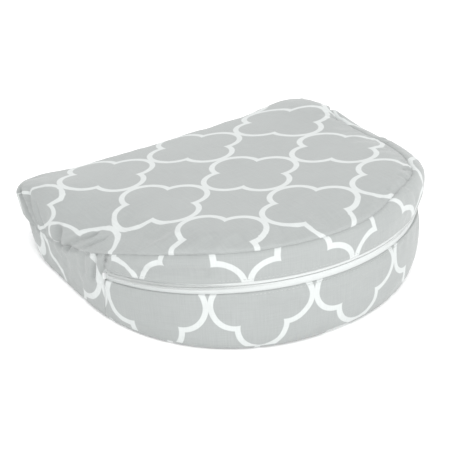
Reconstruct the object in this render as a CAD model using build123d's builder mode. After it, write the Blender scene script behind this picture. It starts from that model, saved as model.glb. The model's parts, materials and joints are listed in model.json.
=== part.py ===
"""Nursing pillow: a D-shaped foam wedge in a sewn cover that opens along a curved zip.

The straight edge is thin and the round edge is thick.  X runs along the straight edge, +Y points
to it, the round edge faces -Y and +Z is up.  The origin is the middle of the footprint, on the
surface that the pillow lies on.  Lengths are millimetres.
"""
from build123d import *

import os
from math import atan, cos, degrees, radians, sin

# Driving dimensions of the cushion
cushion_width = 356.0          # along the straight edge
cushion_depth = 330.0          # straight edge to the crest of the round edge
back_height = 53.0             # top edge above the floor, at the straight edge
front_height = 113.0           # top edge above the floor, at the crest of the round edge
crown = 10.0                   # how far the top swells above the flat between its edges
back_corner = 46.0             # plan radius of the two back corners
top_rounding = 12.0            # rounding of the top edge
bottom_rounding = 5.0          # rounding of the bottom edge

# Driving dimensions of the cover
fabric = 1.6                   # cotton cover cloth
foam_inset = 3.0               # outside of the cover to the foam
bottom_seam_height = 4.0       # bottom panel's seam above the floor
seam_line = [(180, 31), (80, 35), (-15, 70), (-100, 97), (-180, 108)]   # (Y, Z) of the top seam

# Driving dimensions of the zip
zip_slope = 0.174              # rise of the zip towards the round edge, per unit of Y
zip_back_height = 16.7         # height of the zip's plane above the floor, at the straight edge
zip_end_y = -22.0              # upright seams that close the two ends of the zip
opening_half = 5.75            # half the width of tape that shows between the cloth edges
tape_inset = 1.7               # outside of the cover to the face of the tape
tape_thickness = 0.8
tape_half = 10.5               # outer edge of each tape, from the zip's plane
tape_tuck = 8.0                # tape that runs on behind each upright seam
coil_gap = 0.6                 # inner edge of each tape and coil, from the zip's plane
coil_half = 2.9                # outer edge of each coil
coil_sunk = 1.1                # coil's foot, inside the cover's outer surface
coil_proud = 1.3               # coil's crest, outside the cover's outer surface
coil_end = 77.2                # angle of each end of the coils, from the crest of the round edge
stop_length = 2.0              # end stops, along the zip
stop_margin = 0.25             # how far a stop stands out past the coil
groove_depth = 5.4             # hollow that the slider presses in the foam
groove_half = 4.6
groove_end = 78.6

# Driving dimensions of the slider and its pull tab
slider_angle = 75.5            # slider at the closed end, from the crest of the round edge
slider_length = 9.0
slider_half = 4.2
slider_corner = 1.6
plate_thickness = 1.1
plate_clearance = 0.35         # between the coil and the slider
flange_foot = -0.6             # foot of the side flanges, outside the cover's outer surface
flange_length = 7.4
inner_plate_top = -3.6
inner_plate_half = 3.6
neck_half = 0.22               # half the thickness of the neck that joins the two plates
neck_length = 1.6
neck_x = 3.2
bridge_length = 6.0
bridge_height = 2.6
bridge_band = 0.9
bridge_half = 0.8
tab_bar_radius = 0.55
tab_clearance = 0.3            # between the slider's plate and the tab's bar
tab_length = 26.0
tab_half = 2.9
tab_thickness = 1.1
window_half = 1.3
window_length = 5.0
tab_hole_radius = 1.3
tab_hole_from_end = 4.0
tab_corner = 0.9               # radius of the tab's rounded ends, as a share of its half width
tab_bar_reach = 0.7            # half the length of the tab's bar, as a share of the tab's half width

# Worked out from the dimensions above
zip_radius = cushion_width / 2
zip_tilt = degrees(atan(zip_slope))
front_depth = zip_radius * cos(radians(zip_tilt))     # makes the tilted zip a true circle
front_y = -(cushion_depth - coil_proud) / 2
back_y = front_y + cushion_depth
centre_y = front_y + front_depth
centre_z = zip_back_height + zip_slope * (back_y - centre_y)
top_slope = degrees(atan((front_height - back_height) / cushion_depth))
half_span = cushion_width / 2
dome_radius = (half_span ** 2 + crown ** 2) / (2 * crown)
top_middle = Vector(0, (front_y + back_y) / 2, (front_height + back_height) / 2)
top_normal = Vector(0, sin(radians(top_slope)), cos(radians(top_slope)))
dome_centre = top_middle + top_normal * (crown - dome_radius)
room = 400.0                                          # larger than the pillow in every direction

zip_centre = Vector(0, centre_y, centre_z)
zip_normal = Vector(0, sin(radians(zip_tilt)), cos(radians(zip_tilt)))
zip_back = Vector(0, cos(radians(zip_tilt)), -sin(radians(zip_tilt)))
zip_plane = Plane(origin=zip_centre, x_dir=(1, 0, 0), z_dir=zip_normal)
zip_axis = Axis(zip_centre, zip_normal)
zip_end_plane = Plane(origin=(0, zip_end_y, 0), x_dir=(1, 0, 0), z_dir=(0, 1, 0))


def outward(angle):
    """Direction from the zip's centre to the zip, at an angle from the crest of the round edge."""
    return Vector(1, 0, 0) * sin(radians(angle)) - zip_back * cos(radians(angle))


def along(angle):
    """Direction of travel along the zip, towards its closed end."""
    return Vector(1, 0, 0) * cos(radians(angle)) + zip_back * sin(radians(angle))


def section_plane(angle):
    """Plane across the zip: X is distance from its centre, Y is height over its own plane."""
    return Plane(origin=zip_centre, x_dir=outward(angle), z_dir=along(angle) * -1)


def cushion(inset):
    """The closed cushion, with every face moved in by inset."""
    half = zip_radius - inset
    with BuildPart() as body:
        with BuildSketch(Plane.XY.offset(inset)) as outline:
            with BuildLine():
                EllipticalCenterArc((0, centre_y), half, front_depth - inset, start_angle=180, arc_size=180)
                Polyline(
                    (half, centre_y), (half, back_y - inset), (-half, back_y - inset), (-half, centre_y)
                )
            make_face()
            fillet(outline.vertices().group_by(Axis.Y)[-1], radius=back_corner - inset)
        extrude(amount=room)
        with Locations(Location(dome_centre, (0, 90, 0))):
            Sphere(dome_radius - inset, mode=Mode.INTERSECT)
        top = body.faces().sort_by(Axis.Z)[-1]
        fillet(top.edges(), radius=top_rounding - inset)
        base = body.faces().sort_by(Axis.Z)[0]
        fillet(base.edges(), radius=bottom_rounding - inset)
    return body.part


def above_top_seam():
    """The space above the top seam."""
    with BuildPart() as space:
        with BuildSketch(Plane.YZ):
            with BuildLine():
                Spline(*seam_line)
                Polyline(seam_line[-1], (seam_line[-1][0], room), (seam_line[0][0], room), seam_line[0])
            make_face()
        extrude(amount=room / 2, both=True)
    return space.part


def ring(inner, outer, low, high, start, end):
    """A band about the zip's axis: radii, heights over the zip's plane, and its two end angles."""
    with BuildPart() as band:
        with BuildSketch(section_plane(start)):
            with Locations(((inner + outer) / 2, (low + high) / 2)):
                Rectangle(outer - inner, high - low)
        revolve(axis=zip_axis, revolution_arc=end - start)
    return band.part


outer_shape = cushion(0)
cover_lining = cushion(fabric)
over_seam = above_top_seam()
base_seam_plane = Plane.XY.offset(bottom_seam_height)

# Foam core, pressed in along the path of the slider
with BuildPart() as foam_core:
    add(cushion(foam_inset))
    add(
        ring(zip_radius - groove_depth, zip_radius, -groove_half, groove_half, -groove_end, groove_end),
        mode=Mode.SUBTRACT,
    )

# Cover: the sewn panels are one shell, parted along the seams
with BuildPart() as top_panel:
    add(outer_shape)
    add(cover_lining, mode=Mode.SUBTRACT)
    add(over_seam, mode=Mode.INTERSECT)

with BuildPart() as bottom_panel:
    add(outer_shape)
    add(cover_lining, mode=Mode.SUBTRACT)
    split(bisect_by=base_seam_plane, keep=Keep.BOTTOM)

with BuildPart() as side_wall:
    add(outer_shape)
    add(cover_lining, mode=Mode.SUBTRACT)
    add(over_seam, mode=Mode.SUBTRACT)
    split(bisect_by=base_seam_plane, keep=Keep.TOP)

with BuildPart() as back_gusset:
    add(side_wall.part)
    split(bisect_by=zip_end_plane, keep=Keep.TOP)

with BuildPart() as upper_gusset:
    add(side_wall.part)
    split(bisect_by=zip_end_plane, keep=Keep.BOTTOM)
    split(bisect_by=zip_plane.offset(opening_half), keep=Keep.TOP)

with BuildPart() as lower_gusset:
    add(side_wall.part)
    split(bisect_by=zip_end_plane, keep=Keep.BOTTOM)
    split(bisect_by=zip_plane.offset(-opening_half), keep=Keep.BOTTOM)

# Zip tapes, behind the cloth edges and on past the upright seams
with BuildPart() as tape_wall:
    add(cushion(tape_inset))
    add(cushion(tape_inset + tape_thickness), mode=Mode.SUBTRACT)
    split(bisect_by=Plane(origin=(0, zip_end_y + tape_tuck, 0), z_dir=(0, 1, 0)), keep=Keep.BOTTOM)

with BuildPart() as zip_tape_upper:
    add(tape_wall.part)
    split(bisect_by=zip_plane.offset(coil_gap), keep=Keep.TOP)
    split(bisect_by=zip_plane.offset(tape_half), keep=Keep.BOTTOM)

with BuildPart() as zip_tape_lower:
    add(tape_wall.part)
    split(bisect_by=zip_plane.offset(-coil_gap), keep=Keep.BOTTOM)
    split(bisect_by=zip_plane.offset(-tape_half), keep=Keep.TOP)

# Coils, one on the inner edge of each tape
coil_foot = zip_radius - coil_sunk
coil_crest = zip_radius + coil_proud

with BuildPart() as zip_coil_upper:
    add(ring(coil_foot, coil_crest, coil_gap, coil_half, -coil_end, coil_end))

with BuildPart() as zip_coil_lower:
    add(ring(coil_foot, coil_crest, -coil_half, -coil_gap, -coil_end, coil_end))

# Stops: a pair at the closed end, one across both coils at the open end
stop_arc = degrees(stop_length / zip_radius)
stop_foot = coil_foot + stop_margin
stop_crest = coil_crest + stop_margin
stop_half = coil_half + stop_margin

with BuildPart() as zip_top_stops:
    add(ring(stop_foot, stop_crest, coil_gap, stop_half, coil_end, coil_end + stop_arc))
    add(ring(stop_foot, stop_crest, -stop_half, -coil_gap, coil_end, coil_end + stop_arc))

with BuildPart() as zip_bottom_stop:
    add(ring(stop_foot, stop_crest, -stop_half, stop_half, -coil_end - stop_arc, -coil_end))

# Slider at the closed end: X is its travel, Y lies across the zip, Z points out of the cushion
slider_plane = Plane(
    origin=zip_centre + outward(slider_angle) * zip_radius,
    x_dir=along(slider_angle),
    z_dir=outward(slider_angle),
)
outer_plate_foot = coil_proud + plate_clearance
outer_plate_top = outer_plate_foot + plate_thickness
flange_width = slider_half - coil_half - plate_clearance
bar_z = outer_plate_top + tab_clearance + tab_bar_radius

with BuildPart() as zip_slider:
    with BuildSketch(slider_plane.offset(outer_plate_foot)):
        RectangleRounded(slider_length, 2 * slider_half, slider_corner)
    extrude(amount=plate_thickness)
    with BuildSketch(slider_plane.offset(flange_foot)):
        with GridLocations(0, 2 * slider_half - flange_width, 1, 2):
            Rectangle(flange_length, flange_width)
    extrude(amount=outer_plate_foot - flange_foot)
    with BuildSketch(slider_plane.offset(inner_plate_top)):
        RectangleRounded(slider_length, 2 * inner_plate_half, slider_corner)
    extrude(amount=-plate_thickness)
    with BuildSketch(slider_plane.offset(inner_plate_top)):
        with Locations((neck_x, 0)):
            Rectangle(neck_length, 2 * neck_half)
    extrude(amount=outer_plate_foot - inner_plate_top)
    bridge_plane = Plane(
        origin=slider_plane.from_local_coords((0, 0, outer_plate_top)),
        x_dir=slider_plane.x_dir,
        z_dir=slider_plane.y_dir * -1,
    )
    with BuildSketch(bridge_plane) as bridge:
        with Locations((0, bridge_height / 2)):
            Rectangle(bridge_length, bridge_height)
        fillet(bridge.vertices().group_by(Axis.Y)[-1], radius=bridge_band)
        with Locations((0, (bridge_height - bridge_band) / 2)):
            Rectangle(bridge_length - 2 * bridge_band, bridge_height - bridge_band, mode=Mode.SUBTRACT)
    extrude(amount=bridge_half, both=True)

# Pull tab, lying forward past the closed end with its bar under the slider's bridge
with BuildPart() as zip_pull_tab:
    with BuildSketch(slider_plane.offset(bar_z - tab_thickness / 2)):
        with Locations((tab_length / 2, 0)):
            RectangleRounded(tab_length, 2 * tab_half, tab_half * tab_corner)
        with Locations((window_length / 2, 0)):
            Rectangle(window_length, 2 * window_half, mode=Mode.SUBTRACT)
        with Locations((tab_length - tab_hole_from_end, 0)):
            Circle(tab_hole_radius, mode=Mode.SUBTRACT)
    extrude(amount=tab_thickness)
    bar_plane = Plane(
        origin=slider_plane.from_local_coords((0, 0, bar_z)),
        x_dir=slider_plane.x_dir,
        z_dir=slider_plane.y_dir,
    )
    with BuildSketch(bar_plane):
        Circle(tab_bar_radius)
    extrude(amount=tab_half * tab_bar_reach, both=True)

pieces = {
    "foam_core": foam_core,
    "top_panel": top_panel,
    "bottom_panel": bottom_panel,
    "back_gusset": back_gusset,
    "upper_gusset": upper_gusset,
    "lower_gusset": lower_gusset,
    "zip_tape_upper": zip_tape_upper,
    "zip_tape_lower": zip_tape_lower,
    "zip_coil_upper": zip_coil_upper,
    "zip_coil_lower": zip_coil_lower,
    "zip_top_stops": zip_top_stops,
    "zip_bottom_stop": zip_bottom_stop,
    "zip_slider": zip_slider,
    "zip_pull_tab": zip_pull_tab,
}
os.makedirs("parts", exist_ok=True)
for name, piece in pieces.items():
    piece.part.label = name
    export_step(piece.part, f"parts/{name}.step")
print("slider hinge, mm:", tuple(zip_centre), "axis", tuple(zip_normal))
print("tab hinge, mm:", tuple(bar_plane.origin), "axis", tuple(slider_plane.y_dir))
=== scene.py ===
"""Nursing pillow: a D-shaped foam wedge in a printed cotton cover that opens along a curved zip.

The straight edge is thin and the round edge is thick.  +Y points to the straight edge, the round
edge faces -Y, +Z is up and the pillow lies on Z = 0.  Lengths are metres; "along" is distance
round the wall from the crest of the round edge, positive towards +X.
"""

import json
from math import cos, pi, radians, sin

import bpy
import numpy as np
from mathutils import Matrix, Vector
from mathutils.geometry import delaunay_2d_cdt


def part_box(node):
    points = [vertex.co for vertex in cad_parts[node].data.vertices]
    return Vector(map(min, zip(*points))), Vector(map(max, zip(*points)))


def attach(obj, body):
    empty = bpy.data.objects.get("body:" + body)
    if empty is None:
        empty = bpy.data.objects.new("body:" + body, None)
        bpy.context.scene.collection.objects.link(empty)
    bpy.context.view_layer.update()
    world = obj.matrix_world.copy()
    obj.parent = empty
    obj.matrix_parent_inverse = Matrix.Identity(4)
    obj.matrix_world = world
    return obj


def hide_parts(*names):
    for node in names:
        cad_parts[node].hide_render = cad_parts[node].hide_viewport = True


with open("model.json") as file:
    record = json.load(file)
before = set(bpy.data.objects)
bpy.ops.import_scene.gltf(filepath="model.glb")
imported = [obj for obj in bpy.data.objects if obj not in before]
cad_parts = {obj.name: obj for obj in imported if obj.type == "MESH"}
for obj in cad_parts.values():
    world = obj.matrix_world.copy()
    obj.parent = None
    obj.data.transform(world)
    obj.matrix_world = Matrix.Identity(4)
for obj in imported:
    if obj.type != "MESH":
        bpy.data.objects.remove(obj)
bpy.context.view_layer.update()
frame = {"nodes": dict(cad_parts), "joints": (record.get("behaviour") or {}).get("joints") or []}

MM = 0.001

# The cushion's size and the zip's place, from the frame
zip_joint = next(j for j in frame["joints"] if j["name"] == "zip_travel")
zip_centre = Vector(zip_joint["pos_m"])
zip_normal = Vector(zip_joint["axis"]).normalized()
zip_back = Vector((0, zip_normal.z, -zip_normal.y))
half_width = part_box("lower_gusset")[1].x
front_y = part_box("lower_gusset")[0].y
back_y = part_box("back_gusset")[1].y
seam_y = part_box("back_gusset")[0].y            # the two upright seams, at the zip's ends
depth = back_y - front_y
round_depth = zip_centre.y - front_y           # of the half ellipse that the round edge follows
zip_slope = zip_normal.y / zip_normal.z
base_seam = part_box("bottom_panel")[1].z
opening_high = 5.0 * MM                        # cloth edges, from the zip's plane
opening_low = 7.4 * MM
zip_end = np.arccos((zip_centre.y - seam_y) / round_depth)

# Shape of the stuffed cover
back_edge = 53.1 * MM                          # top edge above the floor, at the straight edge
top_slope = 0.179
crown = 10.4 * MM
crown_power = 4
bow = 3 * MM                                   # the straight edge rises in its middle
corner_lift = 4 * MM                           # the stuffed sides stand up
corner_power = 4
back_power = 2.6                               # how fast the crown falls to the straight edge
haunch = 7 * MM                                # swell near each back corner
haunch_at = (0.92, 100 * MM)                   # share of the half width, and Y
haunch_spread = (42 * MM, 48 * MM)
waist = 8 * MM                                 # sag of the left side in front of it
waist_y = -15 * MM
waist_spread = (38 * MM, 50 * MM)
top_corner = 22 * MM                           # plan radius of the back corners, at the top edge
floor_corner = 84 * MM                         # and at the floor
top_round = 12 * MM
base_round = 5 * MM
floor_square = 0.12                            # how much squarer the round edge is at the floor
floor_draw = 3.9 * MM                          # and how far its crest draws in
floor_swing = 2.5 * MM                         # the floor's outline swings out at the left
floor_swing_angle = radians(42)
shoulder_angle = radians(57)                   # the bulge of the right shoulder, over the zip
shoulder_spread = radians(20)
shoulder_bulge = 6.8 * MM
shoulder_low_bulge = 2 * MM                    # and under it
zip_bulge = 2.0 * MM                           # and of the zip itself
zip_bulge_angle = radians(54)
zip_bulge_spread = radians(13)
# (Y, height above the floor) of the top seam on the wall, in mm
seam_drop = ((165, 31), (78, 34.5), (46, 41), (7, 57), (-48, 81), (-102, 98.5), (-165, 112))
seam_soften = 12 * MM
seam_lift = 12 * MM                            # the top seam climbs over the edge at the right
seam_lift_angle = radians(37)
seam_lift_spread = radians(17)
seam_inset = 6 * MM                            # and beyond that lies inside the top's edge
seam_inset_from = (radians(35), radians(60))   # over these angles
seam_inset_to = (50 * MM, 130 * MM)            # until it drops again over these Y

# Mesh
cell = 4.9 * MM
rim = 14 * MM                                  # inset of the floor's open field
top_rim = 5 * MM                               # inset of the top's open field, from its rounding
wall_spans = (110 * MM, 80 * MM, 130 * MM)     # lengths of the side, the corner and half the back
wall_rows = (13, 3, 9, 11)                     # rows under the zip, over it, to the seam, over the edge
allowance = 2.2 * MM                           # seam allowance turned inward

# Print
pitch = 102.6 * MM
lobe_offset = 0.243                            # of the pitch
lobe_radius = 0.235
line_width = 0.054
top_print = (-101 * MM, 93.8 * MM)             # centre of one motif
lower_print = (radians(8.15), -19.5 * MM)      # angle along the zip, height over the zip's plane
upper_print = (radians(-12), 1.5 * MM)
upper_pitch = 108 * MM
back_pitch = 110 * MM
back_print = (59 * MM, 38 * MM)                # from the left upright seam, above the floor

# Slack and stretch, which move the print over the cloth
lower_draw = 10 * MM                           # of the lower gusset, at the zip's left end
lower_draw_from = radians(45)
upper_draw = (3 * MM, -7 * MM)                 # of the upper gusset there
upper_draw_over = (radians(52), radians(72))
upper_lean = 0.3                               # and its lean at the right, per unit of height
upper_lean_over = (radians(2), radians(24))
back_draw = 8 * MM                             # of the top panel, over these X and Y at the back
back_draw_over = ((60 * MM, 135 * MM), (-50 * MM, 50 * MM))
front_draw = 9 * MM                            # and round this place at the front
front_draw_at = (2 * MM, -160 * MM)
front_draw_spread = 30 * MM
wall_ease = 1.45                               # slack of the top panel down the left side
ease_at = -350 * MM                            # along the wall
ease_spread = 70 * MM
drag = 0.9                                     # slant of its print there
drag_at = 70 * MM                              # Y
drag_spread = 70 * MM


def bell(value, centre, spread):
    return np.exp(-((value - centre) / spread) ** 2)


def smooth(value, start, end):
    """0 before start, 1 after end, and an even rise between."""
    t = np.clip((value - start) / (end - start), 0, 1)
    return t * t * (3 - 2 * t)


def zip_height(y):
    """Height of the zip's plane above the floor."""
    return zip_centre.z - (y - zip_centre.y) * zip_slope


def top_height(x, y):
    """Height of the cover's top, carried on out to its edge."""
    across = 1 - np.clip(np.abs(x) / half_width, 0, 1) ** crown_power
    middle = (front_y + back_y) / 2
    power = np.where(y > middle, back_power, crown_power)
    down = 1 - np.clip(np.abs(y - middle) / (depth / 2), 0, 1) ** power
    back_share = np.clip((y - front_y) / depth, 0, 1)
    straight = (1 - (x / half_width) ** 2) * back_share ** 3
    corner = np.clip(np.abs(x) / half_width, 0, 1) ** corner_power * back_share
    side = bell(np.abs(x), haunch_at[0] * half_width, haunch_spread[0])
    swell = crown * across * down + bow * straight + corner_lift * corner
    swell = swell + haunch * side * bell(y, haunch_at[1], haunch_spread[1])
    swell = swell - waist * bell(x, -half_width, waist_spread[0]) * bell(y, waist_y, waist_spread[1])
    return back_edge + top_slope * (back_y - y) + swell


def even(start, stop, spacing):
    """Values from start to stop, spaced about spacing apart, without the first."""
    count = max(int(round(abs(stop - start) / spacing)), 1)
    return np.linspace(start, stop, count + 1)[1:]


# Columns of the wall's grid, for the half from the crest to the middle of the straight edge:
# an angle round the ellipse, then shares of the side, of the corner and of the straight edge
arc_angles = np.concatenate([
    [0],
    even(0, zip_end, cell / half_width),
    even(zip_end, pi / 2, cell / half_width),
])
side_shares, corner_shares, back_shares = (even(0, 1, cell / span) for span in wall_spans)
arc_count, side_count = len(arc_angles), len(side_shares)
half_count = arc_count + side_count + len(corner_shares) + len(back_shares)


def half_outline(z):
    """Plan points of the half outline, one a column, each at its own height above the floor."""
    a, s = arc_angles, side_shares
    ends = np.cumsum([arc_count, side_count, len(corner_shares)])
    z_arc, z_side, z_corner, z_back = np.split(z, ends)
    level = zip_height(zip_centre.y - round_depth * np.cos(a))
    low = np.clip(1 - z_arc / level, 0, 1)
    power = 2 / (2 + floor_square * low)
    x = [half_width * np.sin(a) ** power]
    y = [zip_centre.y - (round_depth - floor_draw * low) * np.clip(np.cos(a), 0, 1) ** power]

    def corner(height):
        return floor_corner + (top_corner - floor_corner) * np.clip(height / back_edge, 0, 1)

    r = corner(z_side)
    x.append(np.full(side_count, half_width))
    y.append(zip_centre.y + (back_y - r - zip_centre.y) * s)
    r, turn = corner(z_corner), corner_shares * pi / 2
    x.append(half_width - r + r * np.cos(turn))
    y.append(back_y - r + r * np.sin(turn))
    r = corner(z_back)
    x.append((half_width - r) * (1 - back_shares))
    y.append(np.full(len(back_shares), back_y))
    return np.concatenate(x), np.concatenate(y)


def outline(z):
    """Closed outline: the +X half from the crest, then the -X half back to the crest."""
    right = z[:half_count]
    left = np.concatenate([z[:1], z[half_count:][::-1], z[half_count - 1:half_count]])
    x, y = half_outline(right)
    x2, y2 = half_outline(left)
    return np.stack([np.concatenate([x, -x2[1:-1][::-1]]), np.concatenate([y, y2[1:-1][::-1]])], axis=1)


column_count = 2 * half_count - 2
arc_all = np.concatenate([arc_angles, np.full(half_count - arc_count, pi / 2)])
angle_of = np.concatenate([arc_all, -arc_all[1:-1][::-1]])


def outward(points):
    """Unit normals of a closed plan outline that runs anticlockwise."""
    tangent = np.roll(points, -1, axis=0) - np.roll(points, 1, axis=0)
    normal = np.stack([tangent[:, 1], -tangent[:, 0]], axis=1)
    return normal / np.linalg.norm(normal, axis=1, keepdims=True)


def zip_swell(angle):
    """How far the right shoulder pushes the zip out."""
    return zip_bulge * bell(angle, zip_bulge_angle, zip_bulge_spread)


def shoulder(z, angle, level, edge):
    """Outward bulge of the cover at the right shoulder, growing towards the top edge."""
    rise = np.clip((z - level) / (edge - level), 0, 1)
    low = np.sin(pi * np.clip(z / level, 0, 1))
    there = bell(angle, shoulder_angle, shoulder_spread)
    at = floor_swing_angle
    swing = bell(angle, -at, at) - bell(angle, at, at)
    foot = floor_swing * swing * np.clip(1 - z / level, 0, 1)
    stand = zip_swell(angle) * np.sqrt(np.clip(z / level, 0, 1))
    return (shoulder_bulge * rise ** 0.7 + shoulder_low_bulge * low) * there + foot + stand


middle_outline = outline(np.full(column_count, 0.5 * back_edge))
edge_height = top_height(*middle_outline.T)
level_height = zip_height(middle_outline[:, 1])
along = np.concatenate([[0], np.cumsum(np.linalg.norm(np.diff(middle_outline, axis=0), axis=1))])
round_length = along[-1] + np.linalg.norm(middle_outline[-1] - middle_outline[0])
along[half_count:] -= round_length
front = np.abs(angle_of) <= zip_end + 1e-6
climbs = smooth(angle_of, *seam_inset_from) * (1 - smooth(middle_outline[:, 1], *seam_inset_to))


def seam_profile():
    """The top seam's place in each column, as distance up the wall and on over the edge."""
    y = np.linspace(1.2 * front_y, 1.2 * back_y, 400)
    points = np.array(seam_drop[::-1]) * MM
    z = np.interp(y, points[:, 0], points[:, 1])
    kernel = bell(np.arange(-40, 41) * (y[1] - y[0]), 0, seam_soften)
    z = np.convolve(np.pad(z, 40, mode="edge"), kernel / kernel.sum(), mode="valid")
    lift = seam_lift * bell(angle_of, seam_lift_angle, seam_lift_spread)
    low = np.interp(middle_outline[:, 1], y, z) + lift
    return low + (arc_end + seam_inset - low) * climbs


arc_start = edge_height - top_round
arc_end = arc_start + top_round * pi / 2
seam_at = seam_profile()


def wall_row(w):
    """Points of one row of the wall's grid, w up the wall and on over the top edge."""
    bend = np.clip((w - arc_start) / top_round, 0, pi / 2)
    inset = top_round * (1 - np.cos(bend)) + np.clip(w - arc_end, 0, None)
    base = np.arccos(np.clip(1 - w / base_round, -1, 1))
    inset += np.where(w < base_round, base_round * (1 - np.sin(base)), 0)
    plan = outline(np.minimum(w, edge_height))
    normal = outward(plan)
    plan = plan + normal * (shoulder(w, angle_of, level_height, edge_height) - inset)[:, None]
    z = np.where(w > arc_start, top_height(*plan.T) - top_round * (1 - np.sin(bend)), w)
    return np.column_stack([plan, z])


def floor_row(inset):
    plan = outline(np.zeros(column_count))
    plan += outward(plan) * (shoulder(0, angle_of, level_height, edge_height) - inset)[:, None]
    return np.column_stack([plan, np.zeros(column_count)])


def dense_ends(count):
    """Shares from 0 to 1 that crowd towards both ends, without the first."""
    t = np.arange(1, count + 1) / count
    return t - 0.08 * np.sin(2 * pi * t)


def inside(points, polygon):
    """Whether each point is in the polygon, and its distance from the polygon's edge."""
    a, b = polygon, np.roll(polygon, -1, axis=0)
    hit = np.zeros(len(points), bool)
    near = np.full(len(points), np.inf)
    for p, q in zip(a, b):
        crosses = (p[1] > points[:, 1]) != (q[1] > points[:, 1])
        with np.errstate(divide="ignore", invalid="ignore"):
            at = p[0] + (points[:, 1] - p[1]) * (q[0] - p[0]) / (q[1] - p[1])
        hit ^= crosses & (points[:, 0] < at)
        step = q - p
        t = np.clip((points - p) @ step / (step @ step), 0, 1)
        near = np.minimum(near, np.linalg.norm(points - p - t[:, None] * step, axis=1))
    return hit, near


def field(ring):
    """Plan points and triangles that fill a closed ring with an even field."""
    low, high = ring.min(axis=0), ring.max(axis=0)
    rows = np.arange(low[1], high[1], cell * sin(pi / 3))
    grid = [
        (x, y)
        for i, y in enumerate(rows)
        for x in np.arange(low[0] + (i % 2) * cell / 2, high[0], cell)
    ]
    grid = np.array(grid)
    hit, near = inside(grid, ring)
    grid = grid[hit & (near > 0.6 * cell)]
    points = [Vector(p) for p in np.concatenate([ring, grid])]
    got = delaunay_2d_cdt(points, [], [list(range(len(ring)))], 1, 1e-7)
    source = [o[0] for o in got[3]]
    return grid, [[source[i] for i in f] for f in got[2]]


PANELS = ("bottom_panel", "lower_gusset", "zip_gap", "upper_gusset", "top_panel", "back_gusset")


def closed_cover():
    """The whole cover as one closed mesh: points, faces, each face's panel, and values per point."""
    floor_turn = np.arccos(1 - base_seam / base_round)
    full = np.ones(column_count)
    rows = [floor_row(rim), floor_row((rim + base_round) / 2)]
    up = [-rim * full, -(rim + base_round) / 2 * full]
    for turn in np.linspace(0, floor_turn, 4)[:-1]:
        up.append(base_round * (1 - np.cos(turn)) * full)
        rows.append(wall_row(np.maximum(up[-1], 1e-9)))
    upper = np.minimum(level_height + opening_high / zip_normal.z, seam_at - opening_high)
    lower = np.minimum(level_height - opening_low / zip_normal.z, upper - opening_high)
    levels = [base_seam * full, lower, upper, seam_at, arc_end + top_rim + seam_inset * climbs]
    up.append(levels[0])
    rows.append(wall_row(levels[0]))
    bands = [0] * (len(rows) - 1)
    for band, count in enumerate(wall_rows):
        for share in dense_ends(count):
            up.append(levels[band] + (levels[band + 1] - levels[band]) * share)
            rows.append(wall_row(up[-1]))
            bands.append(band + 1)
    grid = np.array(rows)
    count = len(rows)
    points = grid.reshape(-1, 3)
    ends_front = front & np.roll(front, -1)
    faces, panel = [], []
    for i in range(count - 1):
        for j in range(column_count):
            k = (j + 1) % column_count
            low, high = i * column_count, (i + 1) * column_count
            faces.append([low + j, low + k, high + k, high + j])
            on_wall = bands[i] in (1, 2, 3)
            panel.append(5 if on_wall and not ends_front[j] else bands[i])
    up = np.array(up)
    columns = np.tile(np.arange(column_count), count)
    values = {
        "up": up.reshape(-1),
        "along": along[columns],
        "seam_gap": up.reshape(-1) - seam_at[columns],
        "level_gap": (up.reshape(-1) - level_height[columns]) * zip_normal.z,
        "angle": angle_of[columns],
    }
    ring_plan = wall_row(arc_end)[:, :2]
    out = outward(ring_plan)
    ease = 1 + (wall_ease - 1) * bell(along[columns], ease_at, ease_spread)
    drop = np.clip(arc_end[columns] - up.reshape(-1), 0, None) * ease
    flat = np.where(
        (drop > 0)[:, None], ring_plan[columns] + out[columns] * drop[:, None], points[:, :2]
    )
    at_left = (along[columns] < 0) * bell(points[:, 1], drag_at, drag_spread)
    flat[:, 1] -= drag * drop * at_left
    low = up.reshape(-1) <= base_seam + 1e-6
    values["flat_x"] = np.where(low, points[:, 0], flat[:, 0])
    values["flat_y"] = np.where(low, points[:, 1], flat[:, 1])
    for row, is_top in ((count - 1, True), (0, False)):
        ring = grid[row]
        plan, triangles = field(ring[:, :2])
        height = top_height(*plan.T) if is_top else np.zeros(len(plan))
        start = len(points)
        points = np.concatenate([points, np.column_stack([plan, height])])
        for f in triangles:
            f = [row * column_count + i if i < column_count else start + i - column_count for i in f]
            faces.append(f if is_top else f[::-1])
            panel.append(4 if is_top else 0)
        far = np.full(len(plan), 1.0 if is_top else -1.0)
        angle = np.arctan2(plan[:, 0], zip_centre.y - plan[:, 1])
        more = {"up": far, "along": 0 * far, "seam_gap": far, "level_gap": far, "angle": angle,
                "flat_x": plan[:, 0], "flat_y": plan[:, 1]}
        values = {k: np.concatenate([v, more[k]]) for k, v in values.items()}
    return points, faces, np.array(panel), values


def make_mesh(name, points, faces):
    mesh = bpy.data.meshes.new(name)
    mesh.from_pydata([tuple(p) for p in points], [], [tuple(int(i) for i in f) for f in faces])
    mesh.shade_smooth()
    return mesh


def make_piece(name, points, faces, material):
    mesh = make_mesh(name, points, faces)
    mesh.materials.append(material)
    piece = bpy.data.objects.new(name, mesh)
    bpy.context.scene.collection.objects.link(piece)
    return piece


def read_points(mesh):
    out = np.empty(len(mesh.vertices) * 3)
    mesh.vertices.foreach_get("co", out)
    return out.reshape(-1, 3)


# Cloth
pressure = 2.2
swell_limit = 3.2 * MM
pin_width = 2.6 * MM
frames = 18
cloth_mass = 0.25
cloth_stretch = 12
cloth_shear = 4
cloth_bend = 0.3
cloth_shrink = -0.012

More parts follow.
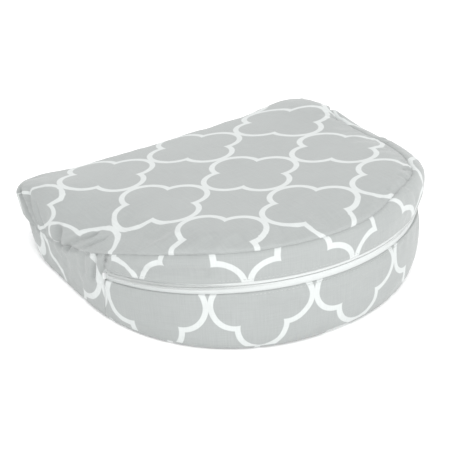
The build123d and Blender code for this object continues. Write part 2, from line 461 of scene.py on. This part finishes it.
def swell(points, faces, values):
    """Blows the cover up against its seams with a cloth simulation, and returns the new points."""
    piece = make_piece("cover_cloth_sim", points, faces, None)
    held = np.zeros(len(points))
    for gap in (values["seam_gap"], values["up"] - base_seam):
        held = np.maximum(held, bell(gap, 0, pin_width))
    in_front = np.abs(values["angle"]) <= zip_end + 0.02
    gap = values["level_gap"]
    band = np.clip(gap - opening_high, 0, None) + np.clip(-opening_low - gap, 0, None)
    held = np.maximum(held, np.where(in_front, bell(band, 0, pin_width), 0))
    end_gap = (np.abs(values["angle"]) - zip_end) * half_width
    on_wall = (values["seam_gap"] < 0) & (values["up"] > base_seam)
    held = np.maximum(held, np.where(on_wall, bell(end_gap, 0, pin_width), 0))
    held = np.where(values["up"] <= base_seam, 1, held)
    group = piece.vertex_groups.new(name="held")
    for i, weight in enumerate(held):
        group.add([i], float(weight), "REPLACE")
    cloth = piece.modifiers.new("cloth", "CLOTH")
    s = cloth.settings
    s.quality = 6
    s.mass = cloth_mass
    s.tension_stiffness = s.compression_stiffness = cloth_stretch
    s.shear_stiffness = cloth_shear
    s.bending_stiffness = cloth_bend
    s.use_pressure = True
    s.uniform_pressure_force = pressure
    s.shrink_min = cloth_shrink
    s.vertex_group_mass = "held"
    s.pin_stiffness = 1
    s.effector_weights.gravity = 0
    cloth.collision_settings.use_collision = False
    cloth.point_cache.frame_end = frames
    for f in range(1, frames + 1):
        bpy.context.scene.frame_set(f)
    done = piece.evaluated_get(bpy.context.evaluated_depsgraph_get()).to_mesh()
    moved = read_points(done)
    bpy.context.scene.frame_set(1)
    bpy.data.objects.remove(piece)
    step = moved - points
    size = np.linalg.norm(step, axis=1, keepdims=True)
    return points + step * np.minimum(1, swell_limit / np.maximum(size, 1e-9))


def subdivided(points, faces, panel, values):
    """The closed cover at twice the fineness, with its panels and values carried over."""
    piece = make_piece("cover_fine", points, faces, None)
    mesh = piece.data
    mesh.attributes.new("panel", "INT", "FACE").data.foreach_set("value", panel.astype(np.int32))
    for name, value in values.items():
        mesh.attributes.new(name, "FLOAT", "POINT").data.foreach_set("value", value.astype(np.float32))
    fine = piece.modifiers.new("fine", "SUBSURF")
    fine.levels = 1
    done = piece.evaluated_get(bpy.context.evaluated_depsgraph_get()).to_mesh()
    new_points = read_points(done)
    normals = np.empty(len(done.vertices) * 3)
    done.vertices.foreach_get("normal", normals)
    corners = np.empty(len(done.loops), np.int32)
    done.loops.foreach_get("vertex_index", corners)
    new_panel = np.empty(len(done.polygons), np.int32)
    done.attributes["panel"].data.foreach_get("value", new_panel)
    new_values = {}
    for name in values:
        got = np.empty(len(done.vertices), np.float32)
        done.attributes[name].data.foreach_get("value", got)
        new_values[name] = got.astype(float)
    bpy.data.objects.remove(piece)
    return new_points, normals.reshape(-1, 3), corners.reshape(-1, 4), new_panel, new_values


# Zip tapes
tape_inset = 1.7 * MM
tape_thickness = 0.8 * MM
tape_edges = (0.3 * MM, 10.5 * MM)             # from the zip's plane
tape_tuck = 8 * MM

# Seams and folds
groove = 1.7 * MM
groove_width = 2.0 * MM
pucker = 0.35 * MM
pucker_reach = 9 * MM
pucker_wave = 11 * MM
slack_at = ((-235 * MM, 1.5), (190 * MM, 1.0))  # along the wall, and how much deeper puckers are there
slack_spread = 60 * MM


def ripple(value, wavelength, seed):
    """A wandering wave along a seam: a few sines whose lengths don't share a period."""
    out = 0
    for k, part in enumerate((1, 1.37, 0.61)):
        out = out + np.sin(2 * pi * value / (wavelength * part) + seed + 1.7 * k)
    return out / 3


# Folds and ridges: (along, height over the top seam) of the two ends, half width and depth, in mm
folds = (
    ((-378, 32), (-362, 3), 3.8, 3.4),         # left back corner
    ((-364, 36), (-354, 6), 3.4, 2.6),
    ((-350, 30), (-343, 6), 3.0, 1.6),
    ((-318, 1), (-312, 16), 4.4, 3.8),         # fan from the seam at the left
    ((-304, 0), (-270, 22), 3.4, 3.0),
    ((-292, 0), (-254, 17), 3.0, 2.2),
    ((-275, -4), (-272, -20), 4.0, 1.8),       # pleats above the zip's left end
    ((-255, -2), (-256, -24), 3.2, 3.0),
    ((-238, -2), (-243, -28), 2.8, 3.0),
    ((-195, -16), (-132, -19), 5.5, 2.4),      # hollow and swell over the zip
    ((-170, -5), (-128, -7), 4.0, -1.2),
    ((152, 3), (142, 24), 3.4, 1.3),           # right shoulder
    ((128, 2), (132, 18), 3.0, 1.0),
    ((116, -3), (124, -24), 3.4, 1.2),
    ((98, 1), (92, 16), 3.0, 0.9),
    ((378, 32), (362, 3), 3.6, 2.0),           # right back corner
    ((318, 1), (304, 18), 3.8, 1.8),
    ((255, -2), (256, -24), 3.2, 1.8),
)
lip = 2.4 * MM                                 # the top panel hangs over its seam at the left
lip_at = -378 * MM
lip_spread = 48 * MM
lip_round = 2 * MM
lip_reach = 13 * MM


def fold(v, start, end, width, depth):
    """A valley along a line on the cloth, with low shoulders beside it; negative depth is a ridge."""
    here = np.column_stack([v["along"], v["seam_gap"]]) / MM
    start, step = np.array(start), np.subtract(end, start)
    t = (here - start) @ step / (step @ step)
    away = np.linalg.norm(here - start - np.clip(t, 0, 1)[:, None] * step, axis=1)
    shape = np.exp(-(away / width) ** 2) - 0.35 * np.exp(-((away / width - 1.9) / 0.9) ** 2)
    return -depth * MM * shape


def relief(v):
    """How far the cloth stands out from the stuffed shape, from its seams, puckers and folds."""
    out = -groove * bell(v["seam_gap"], 0, groove_width)
    for line in folds:
        out += fold(v, *line)
    off_seam = np.abs(v["seam_gap"])
    hang = (1 - np.exp(-off_seam / lip_round)) * np.exp(-off_seam / lip_reach)
    out += lip * bell(v["along"], lip_at, lip_spread) * np.sign(v["seam_gap"]) * hang
    over_tape = np.abs(v["level_gap"]) < tape_edges[1] + 2 * MM
    over_tape &= np.abs(v["angle"]) < zip_end + 0.05
    out = np.where(over_tape, np.maximum(out, -tape_inset / 2), out)
    near = np.exp(-off_seam / pucker_reach)
    slack = 1 + sum(more * bell(v["along"], at, slack_spread) for at, more in slack_at)
    out += pucker * slack * near * ripple(v["along"], pucker_wave, 0.4)
    return out


def panel_piece(name, points, normals, faces, flat, scale, material):
    """One sewn panel, with its edges turned inward as a seam allowance and its flat cut as a UV map."""
    used, local = np.unique(faces, return_inverse=True)
    faces = local.reshape(faces.shape)
    points, normals, flat = points[used], normals[used], flat[used]
    edges = np.stack([faces, np.roll(faces, -1, axis=1)], axis=2).reshape(-1, 2)
    key = np.sort(edges, axis=1)
    _, index, uses = np.unique(key, axis=0, return_index=True, return_counts=True)
    border = edges[index[uses == 1]]
    turned = np.unique(border)
    inner = np.full(len(points), -1)
    inner[turned] = len(points) + np.arange(len(turned))
    points = np.concatenate([points, points[turned] - normals[turned] * allowance])
    flat = np.concatenate([flat, flat[turned]])
    strip = np.column_stack([border[:, 1], border[:, 0], inner[border[:, 0]], inner[border[:, 1]]])
    faces = np.concatenate([faces, strip])
    piece = make_piece(name, points, faces, material)
    uv = piece.data.uv_layers.new(name="print")
    uv.data.foreach_set("uv", (flat[faces.reshape(-1)] / scale).reshape(-1).astype(np.float32))
    return piece


def cover_pieces(cloth_material):
    """The five cover panels, stuffed, puckered and cut apart at their seams."""
    points, faces, panel, values = closed_cover()
    points = swell(points, faces, values)
    points, normals, faces, panel, v = subdivided(points, faces, panel, values)
    points = points + normals * relief(v)[:, None]
    points[:, 2] = np.maximum(points[:, 2], 0)
    lean = -zip_normal.y * np.sin(v["angle"])
    off = v["level_gap"] / zip_normal.z
    front_flat = np.column_stack([half_width * v["angle"] + off * lean, off * np.sqrt(1 - lean ** 2)])
    lower_flat, upper_flat = front_flat.copy(), front_flat.copy()
    lower_flat[:, 0] += lower_draw * smooth(-v["angle"], lower_draw_from, zip_end)
    upper_flat -= smooth(-v["angle"], *upper_draw_over)[:, None] * upper_draw
    upper_flat[:, 0] += upper_lean * off * smooth(v["angle"], *upper_lean_over)
    over_x, over_y = back_draw_over
    eased = back_draw * smooth(v["flat_x"], *over_x) * smooth(v["flat_y"], *over_y)
    away = np.hypot(v["flat_x"] - front_draw_at[0], v["flat_y"] - front_draw_at[1])
    eased += front_draw * bell(away, 0, front_draw_spread)
    left_seam = along[np.argmin(np.abs(angle_of + zip_end))]
    from_left = np.where(v["along"] < 0, left_seam - v["along"], left_seam + round_length - v["along"])
    flats = {
        "top_panel": (np.column_stack([v["flat_x"], v["flat_y"] + eased]) - top_print, pitch),
        "bottom_panel": (np.column_stack([v["flat_x"], v["flat_y"]]) - top_print, pitch),
        "lower_gusset": (lower_flat - (half_width * lower_print[0], lower_print[1]), pitch),
        "upper_gusset": (upper_flat - (half_width * upper_print[0], upper_print[1]), upper_pitch),
        "back_gusset": (np.column_stack([from_left, v["up"]]) - back_print, back_pitch),
    }
    out = {}
    for name, (flat, scale) in flats.items():
        mine = faces[panel == PANELS.index(name)]
        out[name] = panel_piece(name + "_cloth", points, normals, mine, flat, scale, cloth_material)
    return out


# Materials

class Nodes:
    """Builds a material's node tree."""

    def __init__(self, name):
        self.material = bpy.data.materials.new(name)
        self.material.use_nodes = True
        self.tree = self.material.node_tree
        self.shader = self.tree.nodes["Principled BSDF"]

    def add(self, kind, **settings):
        node = self.tree.nodes.new(kind)
        for key, value in settings.items():
            setattr(node, key, value)
        return node

    def link(self, source, target):
        if isinstance(source, (int, float, tuple)):
            target.default_value = source
        else:
            self.tree.links.new(source, target)

    def math(self, operation, *values):
        node = self.add("ShaderNodeMath", operation=operation)
        for value, socket in zip(values, node.inputs):
            self.link(value, socket)
        return node.outputs[0]

    def fold(self, value):
        """Distance of value's fraction from a half."""
        return self.math("ABSOLUTE", self.math("SUBTRACT", self.math("FRACT", value), 0.5))

    def spread(self, start, size, value):
        """Start, and size times value more."""
        return self.math("ADD", start, self.math("MULTIPLY", value, size))

    def uv(self, name):
        return self.add("ShaderNodeUVMap", uv_map=name).outputs[0]

    def place(self):
        return self.add("ShaderNodeTexCoord").outputs["Object"]

    def scaled(self, vector, scale):
        node = self.add("ShaderNodeMapping")
        self.link(vector, node.inputs["Vector"])
        node.inputs["Scale"].default_value = scale
        return node.outputs[0]

    def noise(self, vector, scale, detail=2.0, roughness=0.5):
        node = self.add("ShaderNodeTexNoise")
        self.link(vector, node.inputs["Vector"])
        node.inputs["Scale"].default_value = scale
        node.inputs["Detail"].default_value = detail
        node.inputs["Roughness"].default_value = roughness
        return node.outputs["Fac"]

    def mix(self, share, a, b):
        node = self.add("ShaderNodeMix", data_type="RGBA")
        for value, socket in ((share, node.inputs[0]), (a, node.inputs[6]), (b, node.inputs[7])):
            self.link(value, socket)
        return node.outputs[2]

    def brightness(self, colour, value):
        node = self.add("ShaderNodeHueSaturation")
        self.link(colour, node.inputs["Color"])
        self.link(value, node.inputs["Value"])
        return node.outputs[0]

    def bump(self, height, strength, distance):
        node = self.add("ShaderNodeBump")
        node.inputs["Strength"].default_value = strength
        node.inputs["Distance"].default_value = distance
        self.link(height, node.inputs["Height"])
        self.link(node.outputs[0], self.shader.inputs["Normal"])

    def set(self, **values):
        for key, value in values.items():
            self.link(value, self.shader.inputs[key.replace("_", " ")])


def quatrefoil(n, vector):
    """1 on the printed lines of the motif, 0 between them; the motif repeats at whole numbers."""
    split = n.add("ShaderNodeSeparateXYZ")
    n.link(vector, split.inputs[0])
    x, y = (n.fold(n.math("ADD", split.outputs[i], 0.5)) for i in (0, 1))

    def distance(a, b):
        along_axis = n.math("SUBTRACT", a, lobe_offset)
        return n.math(
            "SQRT", n.math("ADD", n.math("MULTIPLY", along_axis, along_axis), n.math("MULTIPLY", b, b))
        )

    lobes = n.math("SUBTRACT", n.math("MINIMUM", distance(x, y), distance(y, x)), lobe_radius)
    heart = n.math("SUBTRACT", n.math("MAXIMUM", x, y), lobe_offset / 2)
    edge = n.math("MINIMUM", lobes, heart)
    off_line = n.math("DIVIDE", n.math("ABSOLUTE", edge), line_width / 2)
    ramp = n.add("ShaderNodeMapRange", interpolation_type="SMOOTHSTEP")
    n.link(off_line, ramp.inputs["Value"])
    for key, value in (("From Min", 0.88), ("From Max", 1.12), ("To Min", 1.0), ("To Max", 0.0)):
        ramp.inputs[key].default_value = value
    return ramp.outputs[0]


def weave(n, vector, thread):
    """Plain weave: heights of the two sets of threads, one crossing the other."""
    split = n.add("ShaderNodeSeparateXYZ")
    n.link(vector, split.inputs[0])
    waves = [
        n.math("SINE", n.math("MULTIPLY", split.outputs[i], 2 * pi / thread)) for i in (0, 1)
    ]
    return n.math("MULTIPLY", *waves)


cloth_grey = (0.286, 0.300, 0.296, 1)
print_white = (0.475, 0.495, 0.49, 1)
tape_white = (0.50, 0.52, 0.515, 1)
nylon_white = (0.52, 0.535, 0.53, 1)
enamel_white = (0.5, 0.51, 0.51, 1)
thread_grey = (0.36, 0.375, 0.37, 1)
foam_cream = (0.72, 0.68, 0.55, 1)
slub_size = (1.1, 26)                          # thickness and length, in mm
thread_pitch = 0.9                             # in mm


def cover_material():
    """Printed cotton: slubby plain weave in pale grey, with white printed lines."""
    n = Nodes("printed_cotton")
    uv = n.uv("print")
    lines = quatrefoil(n, uv)
    per_mm = pitch / MM
    thin, long = per_mm / slub_size[0], per_mm / slub_size[1]
    slub_up = n.noise(n.scaled(uv, (thin, long, 1)), 1.0, 3.0)
    slub_across = n.noise(n.scaled(uv, (long, thin, 1)), 1.0, 3.0)
    patch = n.noise(n.place(), 22.0, 3.0)
    slubs = n.math("ADD", n.math("MULTIPLY", slub_up, 0.16), n.math("MULTIPLY", slub_across, 0.12))
    shade = n.math("ADD", slubs, n.spread(0.82, 0.08, patch))
    colour = n.mix(lines, cloth_grey, print_white)
    n.set(
        Base_Color=n.brightness(colour, shade),
        Roughness=n.spread(0.8, 0.15, slub_up),
        Specular_IOR_Level=0.25,
        Sheen_Weight=0.25,
        Sheen_Roughness=0.5,
    )
    threads = weave(n, n.scaled(uv, (per_mm, per_mm, 1)), thread_pitch)
    height = n.math("ADD", threads, n.math("MULTIPLY", n.math("ADD", slub_up, slub_across), 2.0))
    n.bump(height, 0.35, 0.12 * MM)
    return n.material


def foam_material():
    """Open-cell polyurethane foam."""
    n = Nodes("open_cell_foam")
    cells = n.add("ShaderNodeTexVoronoi")
    n.link(n.place(), cells.inputs["Vector"])
    cells.inputs["Scale"].default_value = 900
    patch = n.noise(n.place(), 30.0)
    n.set(
        Base_Color=n.brightness(foam_cream, n.spread(0.85, 0.3, patch)),
        Roughness=0.95,
        Specular_IOR_Level=0.1,
    )
    n.bump(cells.outputs["Distance"], 0.6, 0.4 * MM)
    return n.material


def tape_material():
    """Woven polyester zip tape with a herringbone."""
    n = Nodes("zip_tape_weave")
    uv = n.uv("print")
    split = n.add("ShaderNodeSeparateXYZ")
    n.link(uv, split.inputs[0])
    chevron, rib = 2.4, 0.8
    slant = n.math("MULTIPLY", n.fold(n.math("DIVIDE", split.outputs[1], chevron)), chevron)
    rows = n.math("SINE", n.math("MULTIPLY", n.math("ADD", split.outputs[0], slant), 2 * pi / rib))
    n.set(
        Base_Color=n.brightness(tape_white, n.spread(0.97, 0.03, rows)),
        Roughness=0.75,
        Sheen_Weight=0.15,
        Specular_IOR_Level=0.3,
    )
    n.bump(rows, 0.4, 0.1 * MM)
    return n.material


def coil_material():
    """Nylon monofilament of the zip's coils."""
    n = Nodes("zip_coil_nylon")
    patch = n.noise(n.place(), 300.0)
    n.set(
        Base_Color=n.brightness(nylon_white, n.spread(0.94, 0.12, patch)),
        Roughness=n.spread(0.28, 0.15, patch),
        Specular_IOR_Level=0.5,
    )
    return n.material


def enamel_material():
    """White enamel over die-cast zinc, with slight orange peel."""
    n = Nodes("zip_white_enamel")
    peel = n.noise(n.place(), 1500.0)
    wear = n.noise(n.place(), 250.0, 4.0)
    n.set(
        Base_Color=n.brightness(enamel_white, n.spread(0.95, 0.1, wear)),
        Roughness=n.spread(0.2, 0.2, wear),
        Coat_Weight=0.4,
        Coat_Roughness=0.15,
    )
    n.bump(peel, 0.15, 0.05 * MM)
    return n.material


def thread_material():
    """Spun polyester sewing thread."""
    n = Nodes("sewing_thread")
    twist = n.noise(n.scaled(n.place(), (1, 1, 3)), 1400.0)
    n.set(
        Base_Color=n.brightness(thread_grey, n.spread(0.85, 0.3, twist)),
        Roughness=0.7,
        Sheen_Weight=0.2,
    )
    n.bump(twist, 0.5, 0.1 * MM)
    return n.material


# Zip

coil_turn = 1.3 * MM
coil_radial = (0.1 * MM, 0.85 * MM)            # middle, outside the circle of the zip, and half size
coil_height = (1.45 * MM, 1.2 * MM)            # middle, over the zip's plane, and half size
coil_wire = 0.27 * MM
coil_reach = radians(77.2)                     # each way from the crest of the round edge


def wall_point(angle, rise, inset):
    """A point on the wall beside the zip: angle round it, rise over its plane, inset from the cover."""
    x, y = half_width * np.sin(angle), zip_centre.y - round_depth * np.cos(angle)
    nx, ny = round_depth * np.sin(angle), -half_width * np.cos(angle)
    size = np.hypot(nx, ny)
    z = zip_height(y) + rise / zip_normal.z
    inset = inset - zip_swell(angle)
    return np.stack([x - inset * nx / size, y - inset * ny / size, z], axis=-1)


def grid_faces(rows, columns, closed_columns):
    faces = []
    for i in range(rows - 1):
        for j in range(columns if closed_columns else columns - 1):
            k = (j + 1) % columns
            low, high = i * columns, (i + 1) * columns
            faces.append([low + j, low + k, high + k, high + j])
    return faces


def zip_tape(name, side, material):
    """One woven tape, side +1 above the coils and -1 below, lying just inside the cloth edges."""
    reach = zip_end + tape_tuck / half_width
    angles = np.linspace(-reach, reach, 240)
    near, far = (side * e for e in tape_edges)
    heights = np.linspace(near, far, 9)
    face, back = tape_inset, tape_inset + tape_thickness
    loop = [(h, face) for h in heights] + [(h, back) for h in heights[::-1]]
    points = np.stack([wall_point(angles, h, inset) for h, inset in loop], axis=1).reshape(-1, 3)
    faces = grid_faces(len(angles), len(loop), True)
    last = (len(angles) - 1) * len(loop)
    faces += [list(range(len(loop)))[::-1], [last + i for i in range(len(loop))]]
    if side < 0:
        faces = [f[::-1] for f in faces]
    piece = make_piece(name, points, faces, material)
    flat = np.array([(a * half_width / MM, h / MM) for a in angles for h, _ in loop])
    uv = piece.data.uv_layers.new(name="print")
    corners = np.array([i for f in faces for i in f])
    uv.data.foreach_set("uv", flat[corners].reshape(-1).astype(np.float32))
    return piece


def coil(name, side, reach, material):
    """One coil as the helix of nylon that it is, following the zip's circle."""
    turns = int(2 * reach * half_width / coil_turn)
    steps = turns * 9 + 1
    t = np.linspace(0, 1, steps)
    angle = -reach + 2 * reach * t
    phase = 2 * pi * turns * t * side
    radius = half_width + coil_radial[0] + coil_radial[1] * np.sin(phase) + zip_swell(angle)
    height = side * (coil_height[0] + coil_height[1] * np.cos(phase))
    radial = np.stack([np.sin(angle), -zip_back.y * np.cos(angle), -zip_back.z * np.cos(angle)], axis=1)
    line = np.array(zip_centre) + radial * radius[:, None] + np.array(zip_normal) * height[:, None]
    tangent = np.gradient(line, axis=0)
    tangent /= np.linalg.norm(tangent, axis=1, keepdims=True)
    forward = np.stack([np.cos(angle), zip_back.y * np.sin(angle), zip_back.z * np.sin(angle)], axis=1)
    first = np.cross(tangent, forward)
    first /= np.linalg.norm(first, axis=1, keepdims=True)
    second = np.cross(tangent, first)
    turn = np.linspace(0, 2 * pi, 6, endpoint=False)
    tube = line[:, None] + coil_wire * (
        np.cos(turn)[None, :, None] * first[:, None] + np.sin(turn)[None, :, None] * second[:, None]
    )
    count = len(turn)
    faces = grid_faces(steps, count, True)
    last = (steps - 1) * count
    faces += [list(range(count))[::-1], [last + i for i in range(count)]]
    return make_piece(name, tube.reshape(-1, 3), faces, material)


stitch_length = 2.9 * MM
stitch_gap = 0.9 * MM
stitch_radius = 0.24 * MM
stitch_from_edge = 2.2 * MM


def topstitch(name, side, material):
    """A row of lockstitches in the cloth beside the zip."""
    rise = opening_high + stitch_from_edge if side > 0 else -opening_low - stitch_from_edge
    reach = zip_end - 2 * MM / half_width
    count = int(2 * reach * half_width / (stitch_length + stitch_gap))
    middles = np.linspace(-reach, reach, count)
    points, faces = [], []
    around = np.linspace(0, 2 * pi, 6, endpoint=False)
    stations = np.linspace(-1, 1, 6)
    for middle in middles:
        start = len(points)
        for s in stations:
            inset = -0.25 * MM * (1 - s * s) + 0.35 * MM * s ** 4
            size = stitch_radius * np.sqrt(max(1 - s ** 4, 0.15))
            for a in around:
                at = middle + s * stitch_length / 2 / half_width
                points.append(wall_point(at, rise + size * np.sin(a), inset - size * np.cos(a)))
        faces += [[start + i for i in f] for f in grid_faces(len(stations), len(around), True)]
        faces.append([start + i for i in range(len(around))][::-1])
        faces.append([start + (len(stations) - 1) * len(around) + i for i in range(len(around))])
    return make_piece(name, points, faces, material)


foam_share = np.array((0.95, 0.95, 0.88))       # of the cover's size


def foam_piece(material):
    """The foam wedge, just inside the cover."""
    points, faces, _, _ = closed_cover()
    middle = (points.min(axis=0) + points.max(axis=0)) / 2
    points = middle + (points - middle) * foam_share
    return make_piece("foam_wedge", points, faces, material)


# Camera, floor and light

world_strength = 1.47
softbox_size = 1.6
softbox_energy = 27
softbox_distance = 2.2
floor_reach = 4.0
floor_drop = 0.3 * MM                          # the floor lies just under the pillow
view_azimuth = radians(-32.42)
view_elevation = radians(31.22)
view_distance = 2.359
view_aim = Vector((-10.7, 18.0, 29.9)) * MM
view_lens = 189.87


def make_camera():
    """A long lens from the front left, a little above."""
    right = Vector((cos(view_azimuth), sin(view_azimuth), 0))
    back = Vector((
        sin(view_azimuth) * cos(view_elevation),
        -cos(view_azimuth) * cos(view_elevation),
        sin(view_elevation),
    ))
    up = back.cross(right)
    data = bpy.data.cameras.new("camera")
    data.lens = view_lens
    data.sensor_width = 36
    data.clip_end = 20
    camera = bpy.data.objects.new("camera", data)
    at = view_aim + back * view_distance
    camera.matrix_world = Matrix((
        (right.x, up.x, back.x, at.x),
        (right.y, up.y, back.y, at.y),
        (right.z, up.z, back.z, at.z),
        (0, 0, 0, 1),
    ))
    bpy.context.scene.collection.objects.link(camera)
    bpy.context.scene.camera = camera
    return right, back, up


def make_floor():
    """A plain white floor."""
    half = floor_reach
    n = Nodes("studio_floor")
    n.set(Base_Color=(0.93, 0.93, 0.93, 1), Roughness=0.9, Specular_IOR_Level=0.1)
    corners = [(-half, -half, 0), (half, -half, 0), (half, half, 0), (-half, half, 0)]
    corners = np.array(corners) - (0, 0, floor_drop)
    floor = make_piece("studio_floor", corners, [(0, 1, 2, 3)], n.material)


def make_light(right, back, up):
    """White surroundings and one large soft light from the right."""
    world = bpy.data.worlds.new("studio")
    world.use_nodes = True
    world.node_tree.nodes["Background"].inputs["Color"].default_value = (1, 1, 1, 1)
    world.node_tree.nodes["Background"].inputs["Strength"].default_value = world_strength
    bpy.context.scene.world = world
    data = bpy.data.lights.new("softbox", "AREA")
    data.size = softbox_size
    data.energy = softbox_energy
    light = bpy.data.objects.new("softbox", data)
    aim = right * 0.25 + back - up * 0.1
    light.location = view_aim + aim.normalized() * softbox_distance
    light.rotation_euler = aim.to_track_quat("Z", "Y").to_euler()
    bpy.context.scene.collection.objects.link(light)


def dress():
    """Every piece of the pillow, each riding on its body."""
    cotton, tape, nylon = cover_material(), tape_material(), coil_material()
    enamel, thread = enamel_material(), thread_material()
    panels = cover_pieces(cotton)
    foam = foam_piece(foam_material())
    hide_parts("foam_core")
    for name, piece in panels.items():
        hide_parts(name)
    trims = [
        (zip_tape("zip_tape_upper_woven", 1, tape), "zip_tape_upper", "zip_tape"),
        (zip_tape("zip_tape_lower_woven", -1, tape), "zip_tape_lower", "zip_tape"),
        (coil("zip_coil_upper_helix", 1, coil_reach, nylon), "zip_coil_upper", "zip_coil"),
        (coil("zip_coil_lower_helix", -1, coil_reach, nylon), "zip_coil_lower", "zip_coil"),
    ]
    for piece, node, slot in trims:
        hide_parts(node)
    stitches = [topstitch("topstitch_upper", 1, thread), topstitch("topstitch_lower", -1, thread)]
    for piece in [foam, *panels.values(), *(t[0] for t in trims), *stitches]:
        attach(piece, "cushion")
    for node in ("zip_slider", "zip_pull_tab", "zip_top_stops", "zip_bottom_stop"):
        for s in frame["nodes"][node].material_slots:
            s.material = enamel


bpy.context.scene.view_settings.view_transform = "Standard"
right, back, up = make_camera()
make_floor()
make_light(right, back, up)
dress()
